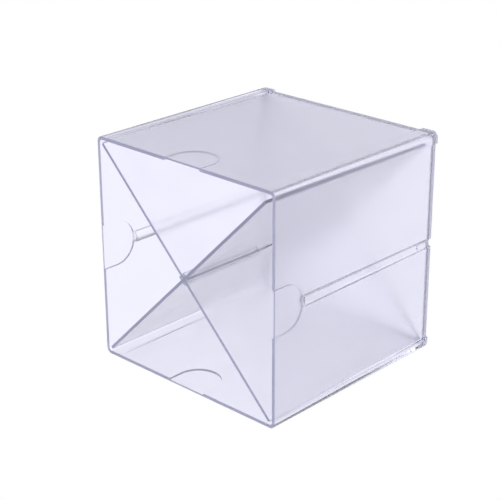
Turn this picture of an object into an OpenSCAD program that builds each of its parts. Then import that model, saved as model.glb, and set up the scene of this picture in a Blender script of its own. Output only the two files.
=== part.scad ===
// Stackable cube organiser: an open-fronted clear box with two crossed, removable dividers.
//
// X runs across the box, Y from the open front (-Y) to the back (+Y), and Z up.
// The origin is at the middle of the footprint, on the surface that the box stands on.
// Each side wall leans in a little towards the back, as a moulded box has to, and four
// corner rails keep the true outer size, so that boxes stack squarely on any face.

/* [Box] */
// Outer width
box_w = 152.4; // [130:0.2:190]
// Outer height
box_h = 152.4; // [130:0.2:190]
// Outer depth, front to back
box_d = 152.4; // [120:0.2:200]
// Thickness of the four side walls
wall = 2.2; // [1.8:0.1:3]
// Thickness of the back wall
back_wall = 2.4; // [1.6:0.1:4]
// Radius of the four long outer corners
corner_r = 4; // [3.2:0.1:6]

/* [Corner rails] */
// How far each wall has leaned in by the time it meets the back
draft = 1.4; // [0.6:0.1:2]
// Width of a rail on the top and bottom walls
rail_leg_flat = 12; // [8:0.5:20]
// Width of a rail on the left and right walls
rail_leg_side = 8; // [6:0.5:20]

/* [Thumb recesses] */
// Width of the round-ended recess in the front edge of each wall
recess_w = 31; // [20:0.5:40]
// Length of the recess from the front edge to the end of its arc
recess_len = 25.7; // [22:0.1:40]
// Thickness of wall left under the recess
recess_floor = 1.1; // [0.8:0.1:1.4]

/* [Pin channels] */
// Radius of the half-round channel down the outside of the left and right walls
channel_r = 3.25; // [2.6:0.05:4]
// Thickness of plastic behind the channel
channel_floor = 1.4; // [1:0.1:2.4]
// Thickness of the wall that closes the channel's front end
channel_end = 1; // [0.8:0.1:2]
// Length of the stop near the channel's back end
stop_len = 9; // [5:0.5:14]
// Gap between the stop and the back of the box
stop_setback = 4.6; // [3:0.1:12]
// Width of the stop
stop_w = 3.4; // [2:0.1:5]
// Height of the stop above the channel's floor
stop_h = 1.2; // [0.6:0.1:2]

/* [Dividers] */
// Thickness of both dividers
sheet = 2; // [1.4:0.1:3]
// Free play between a divider and what it slots into, on each side
slot_play = 0.2; // [0.1:0.05:0.5]
// Gap between each end of the falling divider and the inside corner
falling_corner_gap = 2.9; // [2.4:0.1:6]
// Gap between the foot of the rising divider and the inside corner
rising_foot_gap = 3.2; // [2.4:0.1:6]
// Gap between the head of the rising divider and the inside corner
rising_head_gap = 7.4; // [2.4:0.1:10]
// Gap between the dividers and the back wall
back_play = 0.8; // [0.4:0.1:3]
// Length of the guide ribs along the crossing
rib_len = 64; // [40:1:70]
// Height of a guide rib
rib_h = 2.4; // [1:0.1:4]
// Thickness of a guide rib
rib_t = 1.7; // [1:0.1:3]

/* [Hidden] */

over = 1;                       // how far a cut runs past the surface that it opens
mid_h = box_h / 2;
front_y = -box_d / 2;
back_y = box_d / 2;
floor_y = back_y - back_wall;   // inside face of the back wall
inner_w = box_w - 2 * wall;     // the opening, at the front edge
inner_h = box_h - 2 * wall;
inner_r = corner_r - wall;
lean = draft / box_d;           // inward lean of a wall, per millimetre of depth
inner_lean = lean * (box_d - back_wall);

// The ridge behind each channel starts where the thumb recess ends.
ridge_front = front_y + recess_len;
ridge_r = channel_r + channel_floor;
channel_front = ridge_front + channel_end;

// The dividers lie on the diagonals of the opening, and a slot is wide enough for the other
// sheet at whatever angle the two diagonals cross.
reach = norm([inner_w, inner_h]) / 2;
slope = atan2(inner_h, inner_w);
crossing = 2 * slope;
sheet_d = floor_y - back_play - front_y;
lap_y = front_y + sheet_d / 2;  // where the two half-depth slots meet
lap_play = 1;
sheet_lean = lean * (cos(slope) + sin(slope));
slot_w = (sheet + sheet * abs(cos(crossing))) / sin(crossing) + 2 * slot_play;
rib_gap = sheet + 2 * slot_play;
rib_span = sheet / sin(crossing) + 2 * rib_h;

clear_tint = [0.86, 0.87, 0.94, 0.45];
sheet_tint = [0.89, 0.89, 0.97, 0.5];

// A rectangle with round corners, centred, made of exact arcs.
module round_rect(w, h, r) {
    square([w - 2 * r, h], center = true);
    square([w, h - 2 * r], center = true);
    for (sx = [-1, 1], sz = [-1, 1])
        translate([sx * (w / 2 - r), sz * (h / 2 - r)]) circle(r, $fn = 48);
}

// Extrudes a shape drawn in X and Z along Y, from y0 to y1.
module along_y(y0, y1) {
    translate([0, y1, 0]) rotate([90, 0, 0]) linear_extrude(y1 - y0) children();
}

// The wedge that a leaning wall leaves between two rails, on the +X side of a w-wide box.
module lean_cut(w, length) {
    translate([0, 0, -length / 2])
        linear_extrude(length)
            polygon([
                [w / 2, front_y],
                [w / 2 + over, front_y],
                [w / 2 + over, back_y + over],
                [w / 2 - lean * (box_d + over), back_y + over]
            ]);
}

// The box's outside: a rounded square bar, with the lean cut into each face between the rails.
module outside() {
    difference() {
        translate([0, 0, mid_h]) along_y(front_y, back_y) round_rect(box_w, box_h, corner_r);
        for (side = [0, 180])
            translate([0, 0, mid_h]) rotate([0, side, 0]) {
                lean_cut(box_w, box_h - 2 * rail_leg_side);
                rotate([0, -90, 0]) lean_cut(box_h, box_w - 2 * rail_leg_flat);
            }
    }
}

// The hollow: it narrows towards the back by the same lean as the walls.
module hollow() {
    thin = 0.01;
    translate([0, 0, mid_h])
        hull() {
            along_y(front_y - over - thin, front_y - over)
                hollow_outline(lean * over);
            along_y(floor_y - thin, floor_y)
                hollow_outline(-inner_lean);
        }
}

module hollow_outline(grow) {
    round_rect(inner_w + 2 * grow, inner_h + 2 * grow, inner_r);
}

// The thumb recess, cut into the inside of the wall at +X: straight sides and a round end.
module thumb_recess(half_span) {
    end_r = recess_w / 2;
    arc_y = front_y + recess_len - end_r;
    depth = wall - recess_floor + over;
    translate([half_span - recess_floor - depth, 0, 0])
        rotate([0, 90, 0]) {
            translate([-end_r, front_y - over, 0])
                cube([recess_w, arc_y - front_y + over, depth]);
            translate([0, arc_y, 0])
                cylinder(h = depth, r = end_r, $fn = 96);
        }
}

// A round bar down the middle of the wall at +X, its axis on the face of the rails.
module channel_bar(r, y0, y1) {
    translate([box_w / 2, y1, 0]) rotate([90, 0, 0]) cylinder(h = y1 - y0, r = r, $fn = 64);
}

// The small block on the channel's floor that stops a connecting pin.
module pin_stop() {
    translate([box_w / 2 - channel_r - channel_floor / 2, back_y - stop_setback - stop_len, -stop_w / 2])
        cube([stop_h + channel_floor / 2, stop_len, stop_w]);
}

module cube_shell() {
    color(clear_tint)
        difference() {
            union() {
                difference() {
                    outside();
                    hollow();
                }
                intersection() {
                    outside();
                    for (side = [0, 180])
                        translate([0, 0, mid_h]) rotate([0, side, 0])
                            channel_bar(ridge_r, ridge_front, floor_y + back_wall / 2);
                }
            }
            for (side = [0, 180])
                translate([0, 0, mid_h]) rotate([0, side, 0]) {
                    thumb_recess(box_w / 2);
                    rotate([0, -90, 0]) thumb_recess(box_h / 2);
                    difference() {
                        channel_bar(channel_r, channel_front, back_y + over);
                        pin_stop();
                    }
                }
        }
}

// A divider laid flat: u runs along the box's diagonal and y along its depth, and the sheet
// narrows towards the back with the walls. foot and head are its gaps from the inside corners.
module sheet_outline(foot, head) {
    polygon([
        [-(reach - foot), front_y],
        [reach - head, front_y],
        [reach - head - sheet_lean * sheet_d, front_y + sheet_d],
        [-(reach - foot - sheet_lean * sheet_d), front_y + sheet_d]
    ]);
}

// Stands a flat divider up on the diagonal through the box's middle.
module on_diagonal(angle) {
    translate([0, 0, mid_h]) rotate([0, -angle, 0]) children();
}

module flat_sheet(foot, head, slot_y0, slot_y1) {
    translate([0, 0, -sheet / 2])
        linear_extrude(sheet)
            difference() {
                sheet_outline(foot, head);
                translate([-slot_w / 2, slot_y0]) square([slot_w, slot_y1 - slot_y0]);
            }
}

// Falls from the top left to the bottom right. Its slot opens at the front.
module divider_falling() {
    color(sheet_tint)
        on_diagonal(-slope)
            flat_sheet(falling_corner_gap, falling_corner_gap, front_y - over, lap_y + lap_play / 2);
}

// Rises from the bottom left to the top right. Its slot opens at the back, and the ribs that
// stand out from both its faces lie along the falling divider and guide its two halves.
module divider_rising() {
    color(sheet_tint) {
        on_diagonal(slope)
            flat_sheet(rising_foot_gap, rising_head_gap, lap_y - lap_play / 2, back_y + over);
        on_diagonal(-slope)
            for (side = [-1, 1])
                translate([0, front_y + rib_len / 2, side * (rib_gap + rib_t) / 2])
                    cube([rib_span, rib_len, rib_t], center = true);
    }
}

cube_shell();
divider_falling();
divider_rising();
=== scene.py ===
# %% [markdown]
# # A clear cube organiser with two crossed dividers
# The real thing is three mouldings in pale, faintly lavender plastic: an open-fronted box about
# 15 cm each way, and two flat sheets that slot into each other on its diagonals. The CAD model
# fixes every size and says what may slide. Here each moulding is made again as a finer surface,
# with the small roundings a mould leaves, and gets a clear plastic to be seen through.

import math

import bpy
import numpy as np
from mathutils import Matrix, Vector


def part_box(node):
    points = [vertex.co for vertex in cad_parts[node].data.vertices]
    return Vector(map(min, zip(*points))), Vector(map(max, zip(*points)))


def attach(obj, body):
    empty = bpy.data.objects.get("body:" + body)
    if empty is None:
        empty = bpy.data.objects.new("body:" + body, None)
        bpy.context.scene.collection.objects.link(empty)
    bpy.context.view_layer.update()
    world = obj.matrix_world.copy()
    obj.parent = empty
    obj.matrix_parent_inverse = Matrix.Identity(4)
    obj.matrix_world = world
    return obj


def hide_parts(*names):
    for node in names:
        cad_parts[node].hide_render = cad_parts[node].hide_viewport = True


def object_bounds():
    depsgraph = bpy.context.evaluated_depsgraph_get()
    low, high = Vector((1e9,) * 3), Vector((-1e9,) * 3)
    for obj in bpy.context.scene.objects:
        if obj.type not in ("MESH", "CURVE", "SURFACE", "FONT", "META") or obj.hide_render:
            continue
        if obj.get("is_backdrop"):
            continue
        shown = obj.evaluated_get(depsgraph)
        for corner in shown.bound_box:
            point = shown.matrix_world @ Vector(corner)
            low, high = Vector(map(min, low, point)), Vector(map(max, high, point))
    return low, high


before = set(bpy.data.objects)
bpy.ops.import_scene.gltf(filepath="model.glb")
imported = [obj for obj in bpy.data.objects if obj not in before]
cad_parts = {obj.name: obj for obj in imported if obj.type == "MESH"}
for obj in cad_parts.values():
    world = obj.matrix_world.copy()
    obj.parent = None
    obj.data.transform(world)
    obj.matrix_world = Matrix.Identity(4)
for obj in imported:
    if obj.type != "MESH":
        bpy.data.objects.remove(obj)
cad_low, cad_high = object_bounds()
MM = 0.001
print("CAD box, mm:", [round(v / MM, 2) for v in (*cad_low, *cad_high)])

# %% [markdown]
# ## The camera
# The box is seen from a little above and to the right, through a lens long enough to keep the
# cube's edges nearly parallel. A camera could be aimed with a constraint, but a matrix says all
# of it in one place: it is built from a bearing and a height, and its columns are right, up and
# back.

# %% Camera
BEARING, HEIGHT, ROLL = 43.68, 22.72, -0.19  # degrees
STANDS_AT = (0.56992, -0.61386, 0.42336)
SENSOR, LENS = 36.0, 100.07


def add_camera(bearing, height, roll, place, lens):
    """A camera that looks back along (sin b cos h, -cos b cos h, sin h), rolled about its view."""
    b, h, r = (math.radians(v) for v in (bearing, height, roll))
    back = Vector((math.sin(b) * math.cos(h), -math.cos(b) * math.cos(h), math.sin(h)))
    right = Vector((math.cos(b), math.sin(b), 0))
    up = back.cross(right)
    right, up = right * math.cos(r) + up * math.sin(r), up * math.cos(r) - right * math.sin(r)
    camera = bpy.data.objects.new("camera", bpy.data.cameras.new("camera"))
    turn = Matrix((right, up, back)).transposed().to_4x4()
    camera.matrix_world = Matrix.Translation(place) @ turn
    camera.data.sensor_width, camera.data.lens = SENSOR, lens
    camera.data.clip_start, camera.data.clip_end = 0.01, 50
    bpy.context.scene.collection.objects.link(camera)
    bpy.context.scene.camera = camera
    return camera


camera = add_camera(BEARING, HEIGHT, ROLL, STANDS_AT, LENS)
print("camera distance, m:", round(camera.location.length, 3))

# %% [markdown]
# ## Sizes that the pieces share
# The outside comes from the CAD box. The rest are the moulding's own sizes, in millimetres, and
# once the pieces are made a later cell measures them against the CAD nodes.

# %% Sizes, in millimetres
half = (cad_high.x - cad_low.x) / 2 / MM  # middle of the box to its outside
middle = (cad_high.z + cad_low.z) / 2 / MM  # height of the box's middle
front, back = cad_low.y / MM, cad_high.y / MM
wall, back_wall = 2.2, 2.4
outer_r, inner_r = 4.0, 1.8
draft = 1.4  # how far a wall has leaned in at the back
lean = draft / (back - front)
leg_side, leg_flat = 8.0, 12.0  # widths of the corner rails
recess_r, recess_end, recess_floor = 15.5, 25.7, 1.1
channel_r, ridge_r, channel_start = 3.25, 4.65, 26.7
stop_from, stop_to, stop_half, stop_rise = 138.8, 147.8, 1.7, 1.2  # from the front edge
rim_r, heel_r, cove_r = 0.3, 0.5, 1.2  # roundings: front rim, back edge, inside back corner
soft = 0.3  # how wide the slope is between a step's two levels
recess_step = 0.02  # the same for the recess, as a share of its radius
print("half width", round(half, 2), "depth", round(back - front, 2))


# %% Small helpers for smooth steps
def ease(t):
    """The smooth step 3t^2 - 2t^3, held at 0 below 0 and at 1 above 1."""
    t = np.clip(t, 0, 1)
    return t * t * (3 - 2 * t)


def soft_min(a, b, k):
    """The smaller of a and b, rounded over a width k where they cross."""
    h = np.clip(0.5 + 0.5 * (b - a) / k, 0, 1)
    return b + (a - b) * h - k * h * (1 - h)


# %% [markdown]
# ## The box
# The real box is one moulding: four walls, a closed back and an open front. It could be made by
# cutting boxes out of boxes, but then every edge is knife sharp. It is made here as one sock of
# plastic. A ring of stations runs round the four walls, and a second direction carries that ring
# from the middle of the back, forwards along the outside, over the rim, back along the inside
# and across to the middle of the inside face. Each feature is a push in or out along the wall.

# %% The ring of stations round the box: distances from the middle of a wall, in millimetres
channel_side = channel_r * np.sin(np.radians(np.arange(0, 91, 10)))
near = [1.5, 1.7, 1.9, 3.35, 3.5, 3.75, 4.1, 4.4, 4.65, 5.0, 5.6, 7, 9, 11, 13]
recess_edge = [14.6, 15.2, 15.35, 15.5, 15.8, 17, 19.5]
beyond = [23, 28, 34, 42, 52, 60, 70.4, 71.6, half - outer_r]
about_a_step = np.array([-1, -0.3, -0.1, 0.1, 0.3, 1])
rail_edges = [*(half - leg_flat + about_a_step), *(half - leg_side + about_a_step)]
side = np.unique(np.round([*channel_side, *near, *recess_edge, *beyond, *rail_edges], 4))
straight = np.concatenate([-side[:0:-1], side])
turns = np.radians(np.linspace(0, 90, 11)[1:-1])
ring_wall = np.repeat(np.arange(4), len(straight) + len(turns))
ring_a = np.tile(np.concatenate([straight, np.full(len(turns), half - outer_r)]), 4)
ring_turn = np.tile(np.concatenate([np.zeros(len(straight)), turns]), 4)
on_side_wall = ring_wall % 2 == 0
is_arc = ring_turn > 0
print("stations round the box:", len(ring_wall))


def place(out, along, y):
    """Turns (out from the middle, along the wall) into x and z, wall by wall, anticlockwise."""
    quarter = ring_wall * math.pi / 2
    x = out * np.cos(quarter) - along * np.sin(quarter)
    z = out * np.sin(quarter) + along * np.cos(quarter)
    return np.stack([x, y * np.ones_like(x), z + middle], 1)


# %% The outside surface
STEEP = 6  # how fast the groove's circle is led out of the wall once past its own width


def outside_reach(y):
    """Distance of the outside from the middle: the rails keep it, the walls lean in between
    them, and the side walls are grooved by a circle whose axis lies on the rails' face."""
    a = np.abs(ring_a)
    leg = np.where(on_side_wall, leg_side, leg_flat)
    leaned = half - lean * (y - front) * ease((half - leg + soft - a) / (2 * soft))
    groove = half - np.sqrt(np.maximum(channel_r**2 - a**2, 0))
    groove = groove + STEEP * np.maximum(a - channel_r, 0)
    stop_across = ease((stop_half + 0.2 - a) / soft)
    stop_along = ease((y - front - stop_from + 0.1) / soft)
    stop_along = stop_along * ease((front + stop_to + 0.1 - y) / soft)
    groove = np.maximum(groove, half - channel_r + stop_rise * stop_across * stop_along)
    cut = soft_min(leaned, groove, 0.35)
    open_here = ease((y - front - channel_start + 0.1) / soft)
    return np.where(on_side_wall, leaned + (cut - leaned) * open_here, leaned)


def outside_ring(y, inset=0.0):
    """One ring of the outside at depth y, drawn in by inset."""
    r = outer_r - inset
    reach = np.where(is_arc, half - outer_r + r * np.cos(ring_turn), outside_reach(y) - inset)
    along = np.where(is_arc, half - outer_r + r * np.sin(ring_turn), ring_a)
    return place(reach, along, y)


reaches = [outside_reach(y).min() for y in (front, back)]
print("least reach of the outside, front and back, mm:", np.round(reaches, 2))


# %% The thumb recess's own grid
def thumb_warp(a, y):
    """Bends the grid so that its lines follow the thumb recess. Inside the round end, a square
    becomes a disc by (s sqrt(1 - t^2/2), t sqrt(1 - s^2/2)); outside it the bend fades away.
    Also returns m, which is under 1 inside the recess and 1 on its outline."""
    s, t = a / recess_r, (y - front - recess_end) / recess_r + 1
    m = np.maximum(np.abs(s), np.maximum(t, 0))
    k = np.maximum(m, 1)
    us, ut = s / k, t / k
    fade = np.where(t > 0, 1 - ease((m - 1) / 0.9), 0)
    disc_s, disc_t = us * np.sqrt(1 - ut**2 / 2), ut * np.sqrt(1 - us**2 / 2)
    ws = k * (us + (disc_s - us) * fade)
    wt = np.where(t > 0, k * (ut + (disc_t - ut) * fade), t)
    return ws * recess_r, (wt - 1) * recess_r + front + recess_end, m


# %% The inside surface
STAYS = 42  # stations nearer the wall's middle than this stay put; the rest close up with the lean


def inside_ring(y, inset=0.0):
    """One ring of the inside: a wall that leans in, the recess let into it near the front, and
    behind that the ridge that gives the channel its depth."""
    inner = half - wall - lean * (y - front)
    run = inner - inner_r
    far = np.abs(ring_a)
    closer = STAYS + (far - STAYS) * (run - STAYS) / (half - outer_r - STAYS)
    a = np.sign(ring_a) * np.where(far <= STAYS, far, closer)
    wa, wy, m = thumb_warp(a, y * np.ones_like(a))
    plane = half - wall - lean * (wy - front)
    ridge = half - np.sqrt(np.maximum(ridge_r**2 - wa**2, 0))
    ridge = ridge + 3 * np.maximum(np.abs(wa) - ridge_r, 0)
    behind = ease((m - 1) / 0.05) * on_side_wall * (y > front + recess_end - recess_r)
    reach = plane + (soft_min(plane, ridge, 0.5) - plane) * behind
    in_recess = ease((1 - m) / recess_step)
    reach = reach + (half - recess_floor - reach) * in_recess - inset
    arc_r = inner_r - inset
    reach = np.where(is_arc, run + arc_r * np.cos(ring_turn), reach)
    along = np.where(is_arc, run + arc_r * np.sin(ring_turn), wa)
    return place(reach, along, np.where(is_arc, y, wy))


print("inside, back, mm from the middle:", round(half - wall - lean * (back - front), 2))


# %% The rim, and the two flat back faces
def rim_rings():
    """Rings over the front rim: round, flat, round. The rim is thinner beside a recess."""
    by_recess = ease((1 - np.abs(ring_a) / recess_r) / recess_step) * ~is_arc
    width = wall - (wall - recess_floor) * by_recess
    turn = np.radians([22.5, 45, 67.5, 90])
    steps = [(q, rim_r * (1 - math.cos(q))) for q in turn]
    steps += [(q, width - rim_r * (1 - math.cos(q))) for q in [*turn[::-1], 0.0]]
    out = []
    for q, inset in steps:
        dy, r = rim_r * (1 - math.sin(q)), outer_r - inset
        reach = np.where(is_arc, half - outer_r + r * np.cos(ring_turn), half - inset)
        along = np.where(is_arc, half - outer_r + r * np.sin(ring_turn), ring_a)
        out.append(place(reach, along, front + dy))
    return out


def shrink(ring, shares, y):
    """Copies of a flat ring drawn towards the box's middle line, at depth y."""
    centre = np.array([0, y, middle])
    flat = ring * [1, 0, 1] + [0, y, 0]
    return [centre + (flat - centre) * s for s in shares]


# %% All the rings, from the middle of the back to the middle of the inside
floor_y = back - back_wall
channel_end_y = [26.3, 26.6, 26.7, 26.8, 26.9, 27.4]
stop_y = [138.4, 138.7, 138.8, 138.9, 139.1, 141, 145.5, 147.5, 147.7, 147.8, 147.9, 148.2]
outer_y = [rim_r, 1, 4, 10, 18, 25, *channel_end_y, 30, 38, 55, 76, 97, 115, 128, 136]
outer_y = front + np.array([*outer_y, *stop_y, 149.5, 151])
recess_y = [0.8, 2, 4.5, 7.5, 10.2, 12, 14, 16, 18, 20, 22, 24, 25.1, 25.39, 25.55, 25.7, 26]
behind_y = [26.4, 27, 28, 30, 32.5, 36, 40, 50, 65, 85, 105, 125, 138, 146, 147.8]
inner_y = front + np.array([rim_r, *recess_y, *behind_y])
bow = np.radians(np.linspace(0, 90, 5))


def bowed(ring, y, r):
    """Rings round a quarter arc of radius r that starts r short of depth y, on either surface."""
    return [ring(y - r + r * math.sin(q), r * (1 - math.cos(q))) for q in bow]


# The back face begins as a square just inside the back edge, with corners of its own.
SQUARE, SQUARE_R = 0.985, 0.3
corner = SQUARE * (half - outer_r)
square_out = corner + SQUARE_R * np.cos(ring_turn)
square_along = np.where(is_arc, corner + SQUARE_R * np.sin(ring_turn), SQUARE * ring_a)
back_face = shrink(place(square_out, square_along, back), (0.1, 0.3, 0.55, 0.8, 0.93, 1.0), back)
heel = bowed(outside_ring, back, heel_r)[::-1]
outside = back_face + heel + [outside_ring(y) for y in outer_y[::-1]]
rim = rim_rings()
inside = [inside_ring(y) for y in inner_y[1:]]
cove = bowed(inside_ring, floor_y, cove_r)
inside_face = shrink(cove[-1], (0.985, 0.93, 0.8, 0.55, 0.3, 0.1), floor_y)
grid = np.stack(outside + rim + inside + cove + inside_face)
print("rings:", grid.shape[0], "round:", grid.shape[1])


# %% [markdown]
# A grid that closes round on itself needs one point at each end. The faces are worked out from
# the grid's own numbering, so no loop touches a vertex.

# %% From grid to mesh
def ring_quads(count, round_):
    """The four corners of each face between neighbouring rings, and the ring it starts from."""
    i, j = np.meshgrid(np.arange(count - 1), np.arange(round_), indexing="ij")
    k = (j + 1) % round_
    this, ahead = i * round_, (i + 1) * round_
    return np.stack([this + j, this + k, ahead + k, ahead + j], -1).reshape(-1, 4), i.ravel()


def sock_mesh(name, grid, tip_start, tip_end):
    """A closed mesh from rings of points, with a fan of triangles to a tip at each end."""
    count, round_ = grid.shape[:2]
    points = np.concatenate([grid.reshape(-1, 3), [tip_start, tip_end]])
    quads, _ = ring_quads(count, round_)
    first, last = count * round_, count * round_ + 1
    loop = np.arange(round_)
    ahead = (loop + 1) % round_
    base = (count - 1) * round_
    fan_a = np.stack([np.full(round_, first), ahead, loop], 1)
    fan_b = np.stack([np.full(round_, last), base + loop, base + ahead], 1)
    mesh = bpy.data.meshes.new(name)
    faces = quads.tolist() + fan_a.tolist() + fan_b.tolist()
    mesh.from_pydata((points * MM).tolist(), [], faces)
    mesh.update()
    return mesh


# %% Measuring and finishing a mesh
def signed_volume(mesh):
    """Six times the volume is the sum over triangles of a . (b x c), and it is positive if the
    faces point out."""
    mesh.calc_loop_triangles()
    tri = np.zeros(len(mesh.loop_triangles) * 3, int)
    mesh.loop_triangles.foreach_get("vertices", tri)
    co = np.zeros(len(mesh.vertices) * 3)
    mesh.vertices.foreach_get("co", co)
    a, b, c = co.reshape(-1, 3)[tri.reshape(-1, 3)].transpose(1, 0, 2)
    return float(np.einsum("ij,ij->i", a, np.cross(b, c)).sum() / 6)


def finish_mesh(mesh, crease=35):
    """Points the faces outwards, and shades smooth except across edges sharper than crease."""
    if signed_volume(mesh) < 0:
        mesh.flip_normals()
    mesh.polygons.foreach_set("use_smooth", np.ones(len(mesh.polygons), bool))
    mesh.set_sharp_from_angle(angle=math.radians(crease))
    mesh.update()
    return mesh


def add_piece(name, mesh, body, stands_for):
    """Puts a mesh in the scene as a piece that moves with a body and stands for a CAD node."""
    piece = bpy.data.objects.new(name, mesh)
    bpy.context.scene.collection.objects.link(piece)
    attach(piece, body)
    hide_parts(stands_for)
    return piece


# %% Which finish each face of the box has
POLISHED, FROSTED, RIM, LIP = 0, 1, 2, 3


def box_finish():
    """The outside is polished and the inside frosted. The front rim has its own finish with a dark
    painted shade, and so have the back lip and the recesses' steps, with a paler painted shade.
    A step face is one whose four corners all lie at m from 0.98 to 1 in the recess's own measure."""
    band = np.full((grid.shape[0] - 1, grid.shape[1]), FROSTED)
    last_rim = len(outside) + len(rim) - 1
    band[: len(outside)] = POLISHED
    band[len(back_face) - 1 : len(back_face) + len(heel) + 1] = LIP
    band[len(outside) - 1 : last_rim] = RIM
    m = np.stack([thumb_warp(ring_a, y * np.ones_like(ring_a))[2] for y in inner_y])
    on_step = (m > 0.979) & (m < 1.001) & ~is_arc
    both = on_step & np.roll(on_step, -1, 1)
    corners = both[:-1] & both[1:]
    band[last_rim : last_rim + len(corners)][corners] = LIP
    tips = np.repeat([POLISHED, FROSTED], grid.shape[1])
    return np.concatenate([band.ravel(), tips])


box_mesh = sock_mesh("box", grid, (0, back, middle), (0, floor_y, middle))
box_mesh.polygons.foreach_set("material_index", box_finish())
box_mesh = finish_mesh(box_mesh)
box = add_piece("box", box_mesh, "shell", "cube_shell")
print("box: faces", len(box_mesh.polygons), "volume mm3", round(signed_volume(box_mesh) / MM**3))

# %% [markdown]
# ## The two dividers
# Each divider is a flat sheet with its edges eased. A sheet is all outline, so it is made as a
# profile carried along a path: the path is the outline with its corners turned on small arcs,
# and the profile goes round the sheet's thickness. The two flat faces are one face each.
# A slot half the sheet's depth lets the sheets cross. The front half of the rising sheet also
# carries two low ribs that stand out from both its faces, one each side of the falling sheet,
# and keep the pair square.

# %% Divider sizes, in millimetres
sheet_t, slot_play = 2.0, 0.2
falling_gap, foot_gap, head_gap = 2.9, 3.2, 7.4  # gaps from the inside corners
back_play, lap_play = 0.8, 1.0
rib_long, rib_high, rib_thick = 64.0, 2.4, 1.7
edge_r = 0.3  # easing of a sheet's long edges
reach = math.hypot(half - wall, half - wall)
sheet_depth = back - back_wall - back_play - front
lap = front + sheet_depth / 2
taper = lean * math.sqrt(2) * sheet_depth
slot_half = sheet_t / 2 + slot_play
print("half the diagonal", round(reach, 2), "sheet depth", round(sheet_depth, 2))


# %% Outlines with turned corners
def turned(corners, radii, steps=5):
    """A closed outline whose corners become arcs. An arc of radius r starts r tan(turn/2) short
    of its corner, and its points are at equal angles about a centre on the corner's bisector."""
    c, r = np.array(corners, float), np.array(radii, float)
    to_last, to_next = np.roll(c, 1, 0) - c, np.roll(c, -1, 0) - c
    to_last /= np.linalg.norm(to_last, axis=1, keepdims=True)
    to_next /= np.linalg.norm(to_next, axis=1, keepdims=True)
    opening = np.arccos(np.clip((to_last * to_next).sum(1), -1, 1))
    bisect = to_last + to_next
    bisect /= np.linalg.norm(bisect, axis=1, keepdims=True)
    centre = c + bisect * (r / np.sin(opening / 2))[:, None]
    start = c + to_last * (r / np.tan(opening / 2))[:, None] - centre
    end = c + to_next * (r / np.tan(opening / 2))[:, None] - centre
    t = np.linspace(0, 1, steps)[None, :, None]
    sweep = (math.pi - opening)[:, None, None]
    arc = np.sin((1 - t) * sweep) * start[:, None] + np.sin(t * sweep) * end[:, None]
    arc = arc / np.sin(sweep)
    return (centre[:, None] + arc).reshape(-1, 2)


def drawn_in(outline, inset):
    """The outline moved inwards by inset, along each point's mitred normal."""
    ahead, behind = np.roll(outline, -1, 0) - outline, outline - np.roll(outline, 1, 0)
    n1 = np.stack([-ahead[:, 1], ahead[:, 0]], 1) / np.linalg.norm(ahead, axis=1, keepdims=True)
    n2 = np.stack([-behind[:, 1], behind[:, 0]], 1) / np.linalg.norm(behind, axis=1, keepdims=True)
    both = n1 + n2
    return outline + inset * 2 * both / (both * both).sum(1, keepdims=True)


# %% The outline of a sheet
CORNER_R, SLOT_R = 0.9, 0.5  # how round a sheet's outer corners and its slot's corners are


def sheet_outline(foot, head, slot_at_front):
    """Anticlockwise in (across the diagonal, depth): a trapezium that narrows backwards, with
    the half-depth slot cut from its front or its back edge."""
    left, right, rear = -(reach - foot), reach - head, front + sheet_depth
    front_edge = [(left, front), (right, front)]
    rear_edge = [(right - taper, rear), (left + taper, rear)]
    if slot_at_front:
        deep = lap + lap_play / 2
        slot = [(-slot_half, front), (-slot_half, deep), (slot_half, deep), (slot_half, front)]
        corners = front_edge[:1] + slot + front_edge[1:] + rear_edge
        radii = [CORNER_R] + [SLOT_R] * 4 + [CORNER_R] * 3
    else:
        deep = lap - lap_play / 2
        slot = [(slot_half, rear), (slot_half, deep), (-slot_half, deep), (-slot_half, rear)]
        corners = front_edge + rear_edge[:1] + slot + rear_edge[1:]
        radii = [CORNER_R] * 3 + [SLOT_R] * 4 + [CORNER_R]
    return turned(corners, radii)


outline = sheet_outline(falling_gap, falling_gap, True)
print("falling sheet, mm across the diagonal and deep:", np.ptp(outline, axis=0).round(1))


# %% Plates, and standing them on a diagonal
FLAT_BAND = 0.15


def plate_points(outline, thick, ease_r, offset=0.0):
    """Rings of (across, depth, up from the plate's own middle) from the upper face's edge, round
    a quarter arc, down the side and round another quarter arc to the lower face's edge. A narrow
    flat band first keeps the arc's soft shading off the big faces."""
    quarter = np.radians(np.linspace(0, 90, 4))
    upper = [thick / 2, *(thick / 2 - ease_r * (1 - np.cos(quarter)))]
    inset = [ease_r + FLAT_BAND, *(ease_r * (1 - np.sin(quarter)))]
    inset, high = np.array(inset + inset[::-1]), np.array(upper + [-h for h in upper[::-1]])
    flat = np.stack([drawn_in(outline, d) for d in inset])
    high = np.broadcast_to(high[:, None, None] + offset, (*flat.shape[:2], 1))
    return np.concatenate([flat, high], 2)


def stand(points, angle):
    """Turns (across, depth, up) about the box's middle line by angle, so across runs up a slope."""
    u, y, v = points[..., 0], points[..., 1], points[..., 2]
    c, s = math.cos(angle), math.sin(angle)
    return np.stack([u * c - v * s, y, u * s + v * c + middle], -1)


# %% From plate to mesh
SHEET_FINISHES = ("sheet face", "sheet edge", "rib end")
FACE, EDGE, RIB_END = 0, 1, 2


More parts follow.
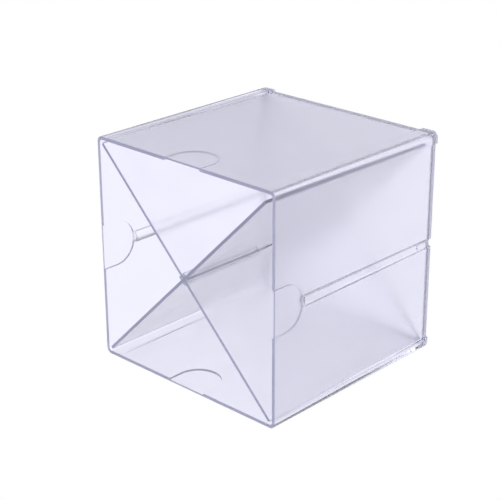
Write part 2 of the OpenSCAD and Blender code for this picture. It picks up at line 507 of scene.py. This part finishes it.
def plate_mesh(name, points, a_rib=False):
    """Quads between the rings, and one flat face at each end of them. The sides have the cut
    edge's finish, with its dark painted shade. On a rib only the front end's eased edges have it,
    and the end between them has a paler painted shade."""
    count, round_ = points.shape[:2]
    quads, row = ring_quads(count, round_)
    loop = np.arange(round_)
    caps = [loop[::-1].tolist(), (loop + (count - 1) * round_).tolist()]
    mesh = bpy.data.meshes.new(name)
    mesh.from_pydata((points.reshape(-1, 3) * MM).tolist(), [], quads.tolist() + caps)
    finish = np.full(len(mesh.polygons), EDGE)
    finish[:round_] = finish[-round_ - 2 :] = FACE
    if a_rib:
        at_front = points[..., 1].ravel()[quads].max(1) < front + 1.0
        in_middle = row == count // 2 - 1
        finish[: len(quads)] = np.where(at_front, np.where(in_middle, RIB_END, EDGE), FACE)
    mesh.polygons.foreach_set("material_index", finish)
    for title in SHEET_FINISHES:
        mesh.materials.append(bpy.data.materials.get(title) or bpy.data.materials.new(title))
    mesh.update()
    return finish_mesh(mesh)


# %% The falling divider
falling_slope, rising_slope = -math.pi / 4, math.pi / 4
falling_mesh = plate_mesh("falling", stand(plate_points(outline, sheet_t, edge_r), falling_slope))
falling = add_piece("falling_divider", falling_mesh, "falling", "divider_falling")
print("falling divider: volume mm3", round(signed_volume(falling_mesh) / MM**3))

# %% [markdown]
# The ribs lie along the falling sheet, so they are two more plates, stood on the falling slope
# and passing through the rising sheet. A Boolean union makes the three one moulding, and its
# result is kept as the piece's own mesh.


# %% The rising divider with its ribs
def union(name, meshes):
    """One closed mesh from several that cross each other."""
    objects = [bpy.data.objects.new(name, m) for m in meshes]
    for o in objects:
        bpy.context.scene.collection.objects.link(o)
    for other in objects[1:]:
        cut = objects[0].modifiers.new("union", "BOOLEAN")
        cut.operation, cut.solver, cut.object = "UNION", "EXACT", other
    seen = objects[0].evaluated_get(bpy.context.evaluated_depsgraph_get())
    joined = bpy.data.meshes.new_from_object(seen)
    for o in objects:
        bpy.data.objects.remove(o)
    return finish_mesh(joined)


rib_half, rib_rear = sheet_t / 2 + rib_high, front + rib_long
rib_corners = [(-rib_half, front), (rib_half, front), (rib_half, rib_rear), (-rib_half, rib_rear)]
rib_outline = turned(rib_corners, [SLOT_R] * 4)
rib_offset = slot_half + rib_thick / 2
plate = plate_points(sheet_outline(foot_gap, head_gap, False), sheet_t, edge_r)
rising_parts = [plate_mesh("sheet", stand(plate, rising_slope))]
for hand in (-1, 1):
    plate = plate_points(rib_outline, rib_thick, edge_r, hand * rib_offset)
    rising_parts.append(plate_mesh("rib", stand(plate, falling_slope), True))
rising_mesh = union("rising", rising_parts)
rising = add_piece("rising_divider", rising_mesh, "rising", "divider_rising")
print("rising divider: volume mm3", round(signed_volume(rising_mesh) / MM**3))

# %% [markdown]
# The finer surfaces may not outgrow the CAD nodes that they stand for. Each pair of boxes is
# compared: a divider's eased corners may leave it a little smaller, and nothing may be larger.

# %% Check against the CAD nodes
stands_for = ((box, "cube_shell"), (falling, "divider_falling"), (rising, "divider_rising"))
for piece, node in stands_for:
    co = np.zeros(len(piece.data.vertices) * 3)
    piece.data.vertices.foreach_get("co", co)
    co = co.reshape(-1, 3)
    low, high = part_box(node)
    off = [*(co.min(0) - low) / MM, *(co.max(0) - high) / MM]
    print(piece.name, "off the CAD box by mm:", np.round(off, 2))

# %% [markdown]
# ## Clear plastic, four ways
# All three mouldings are the same pale plastic. Apart from the painted shade on the edges,
# what differs is how each surface was left. The outside of the box came off a polished mould,
# its inside and the sheets off a lightly frosted one, and rims, lips and cut edges scatter so
# much light that they look solid. Their darker tints are painted shade for the dark lines that
# the edges of clear plastic show. That shade is paler on the lips, steps and rib ends. So one
# recipe serves for all: a see-through Principled shader whose roughness wanders a little, as
# real mouldings do. For the edges it turns partly solid and takes a painted shade. A flat
# roughness would be simpler, but gives a computer's glass.

# %% The recipe
CLEAR_TINT = (0.98, 0.978, 0.995)
BENDS_LIGHT = 1.35  # index of refraction; the thin walls show little of it
ALL_OVER = 45  # grains per metre of the wandering roughness
NOISE_LOW, NOISE_HIGH = 0.3, 0.7  # where nearly all of a soft noise's values lie


def wandering(tree, scale, low, high):
    """A soft noise in the object's own metres, spread from low to high."""
    place = tree.nodes.new("ShaderNodeTexCoord")
    noise = tree.nodes.new("ShaderNodeTexNoise")
    noise.inputs["Scale"].default_value, noise.inputs["Detail"].default_value = scale, 3.0
    tree.links.new(place.outputs["Object"], noise.inputs["Vector"])
    spread = tree.nodes.new("ShaderNodeMapRange")
    for socket, value in zip(spread.inputs[1:5], (NOISE_LOW, NOISE_HIGH, low, high)):
        socket.default_value = value
    tree.links.new(noise.outputs["Fac"], spread.inputs[0])
    return spread.outputs[0]


def plastic(name, tint, clear, rough, spread, grain, depth):
    """See-through plastic: roughness wanders by spread, and the surface waves by depth metres
    over grains of 1/grain metres."""
    made = bpy.data.materials.get(name) or bpy.data.materials.new(name)
    made.use_nodes = True
    tree = made.node_tree
    shader = tree.nodes["Principled BSDF"]
    shader.inputs["Base Color"].default_value = (*tint, 1)
    shader.inputs["Transmission Weight"].default_value = clear
    shader.inputs["IOR"].default_value = BENDS_LIGHT
    uneven = wandering(tree, ALL_OVER, rough - spread, rough + spread)
    tree.links.new(uneven, shader.inputs["Roughness"])
    bump = tree.nodes.new("ShaderNodeBump")
    bump.inputs["Strength"].default_value, bump.inputs["Distance"].default_value = 1.0, depth
    tree.links.new(wandering(tree, grain, 0, 1), bump.inputs["Height"])
    tree.links.new(bump.outputs[0], shader.inputs["Normal"])
    return made


# %% The finishes
POLISHED_ROUGH = 0.06
FROSTED_ROUGH = 0.37
SHEET_ROUGH = 0.19
# Painted shade: a dark tint for the dark lines along the front rim and the sheets' cut edges.
EDGE_SHADE_TINT = (0.62, 0.62, 0.78)
# Painted shade, paler: for the back lip, the recesses' steps and the ribs' front ends.
PALE_EDGE_SHADE_TINT = (0.84, 0.84, 0.95)
CLEAR, PARTLY_SOLID, EDGE_ROUGH = 1.0, 0.5, 0.35
# Tint, clearness, roughness and its spread, grains per metre, and wave height in metres.
BOX_FINISHES = {
    "polished outside": (CLEAR_TINT, CLEAR, POLISHED_ROUGH, 0.02, 60, 0.00002),
    "frosted inside": (CLEAR_TINT, CLEAR, FROSTED_ROUGH, 0.03, 900, 0.00001),
    "front rim": (EDGE_SHADE_TINT, PARTLY_SOLID, EDGE_ROUGH, 0.05, 400, 0.00002),
    "lip and steps": (PALE_EDGE_SHADE_TINT, PARTLY_SOLID, EDGE_ROUGH, 0.05, 400, 0.00002),
}
for title, numbers in BOX_FINISHES.items():
    box_mesh.materials.append(plastic(title, *numbers))
plastic("sheet face", CLEAR_TINT, CLEAR, SHEET_ROUGH, 0.02, 500, 0.00001)
plastic("sheet edge", EDGE_SHADE_TINT, PARTLY_SOLID, EDGE_ROUGH, 0.05, 400, 0.00002)
plastic("rib end", PALE_EDGE_SHADE_TINT, PARTLY_SOLID, EDGE_ROUGH, 0.05, 400, 0.00002)
print("finishes:", [m.name for m in (*box_mesh.materials, *rising_mesh.materials)])

# %% [markdown]
# ## Table, room and lamp
# A clear thing shows what stands round it, so the room is most of its look. Clear plastic shows
# best on a white table that is lit from below, in a white tent, with one soft lamp that draws a
# bright line along the rounded edges. The table here glows, the tent is the world, and the lamp
# is a bright soft patch of that world, high at the back right. Area lamps would serve too, but
# they would show in the clear walls as hard squares. Seen straight on, table and tent are the
# same plain white. Light that goes through plastic meets them in a cool white, with the tent
# dimmer than the table, which is what gives the faces their pale lavender.

# %% Studio numbers
COOL_WHITE = (0.88, 0.88, 1.0)
TABLE_GLOW = 1.09
ROOM_GLOW = 0.77
ROOM_DIM = 0.7
LAMP_GLOW = 2.0
DIM_SIDE = (0.321, -0.883, 0.342)  # towards the front, where nothing is lit
LAMP_SIDE = (0.386, 0.667, 0.637)
print("table, room and lamp glow:", TABLE_GLOW, ROOM_GLOW, LAMP_GLOW)


# %% Helpers for the table and the room
def by_sight(tree, glow, strength, colour):
    """White at strength 1 where it is seen directly, the cool white at its own glow elsewhere."""
    sight = tree.nodes.new("ShaderNodeLightPath").outputs["Is Camera Ray"]
    pairs = (("FLOAT", 1.0, glow, strength), ("RGBA", (1, 1, 1, 1), (*COOL_WHITE, 1), colour))
    for kind, seen, unseen, target in pairs:
        mix = tree.nodes.new("ShaderNodeMix")
        mix.data_type = kind
        a, b = [socket for socket in mix.inputs if socket.enabled and socket.name in "AB"]
        tree.links.new(sight, mix.inputs[0])
        b.default_value = seen
        if isinstance(unseen, bpy.types.NodeSocket):
            tree.links.new(unseen, a)
        else:
            a.default_value = unseen
        tree.links.new([o for o in mix.outputs if o.enabled][0], target)


def towards(tree, direction, begins, full, low, high):
    """Goes from low to high as a ray turns towards a direction, by the cosine between them."""
    ray = tree.nodes.new("ShaderNodeTexCoord")
    cosine = tree.nodes.new("ShaderNodeVectorMath")
    cosine.operation = "DOT_PRODUCT"
    cosine.inputs[1].default_value = direction
    tree.links.new(ray.outputs["Generated"], cosine.inputs[0])
    spread = tree.nodes.new("ShaderNodeMapRange")
    for socket, value in zip(spread.inputs[1:5], (begins, full, low, high)):
        socket.default_value = value
    tree.links.new(cosine.outputs["Value"], spread.inputs[0])
    return spread.outputs[0]


# %% The room, with its lamp
scene = bpy.context.scene
scene.view_settings.view_transform = "Standard"
room = bpy.data.worlds.new("white tent")
scene.world = room
room.use_nodes = True
tree = room.node_tree
both = tree.nodes.new("ShaderNodeMath")  # adds, as it does when new
tree.links.new(towards(tree, DIM_SIDE, 0.2, 0.9, ROOM_GLOW, ROOM_DIM), both.inputs[0])
tree.links.new(towards(tree, LAMP_SIDE, 0.965, 0.99, 0, LAMP_GLOW), both.inputs[1])
sky = tree.nodes["Background"]
by_sight(tree, both.outputs[0], sky.inputs["Strength"], sky.inputs["Color"])
print("world nodes:", len(tree.nodes))

# %% The table
TABLE_HALF, TABLE_Z = 4, -0.0005  # metres; a hair below the box, so that no two faces meet
table_mesh = bpy.data.meshes.new("table")
corners = TABLE_HALF * np.array([(-1, -1), (1, -1), (1, 1), (-1, 1)], float)
corners = np.column_stack([corners, np.full(4, TABLE_Z)])
table_mesh.from_pydata(corners.tolist(), [], [(0, 1, 2, 3)])
table = bpy.data.objects.new("table", table_mesh)
scene.collection.objects.link(table)
lit = bpy.data.materials.new("lit table top")
lit.use_nodes = True
top = lit.node_tree.nodes["Principled BSDF"]
top.inputs["Base Color"].default_value = (0, 0, 0, 1)
top.inputs["Roughness"].default_value = 1.0
top.inputs["Specular IOR Level"].default_value = 0.0
by_sight(lit.node_tree, TABLE_GLOW, top.inputs["Emission Strength"], top.inputs["Emission Color"])
table_mesh.materials.append(lit)
table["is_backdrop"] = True
print("table, metres across:", 2 * TABLE_HALF)

low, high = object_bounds()
print("finished box, mm:", [round(v / MM, 2) for v in (*low, *high)])
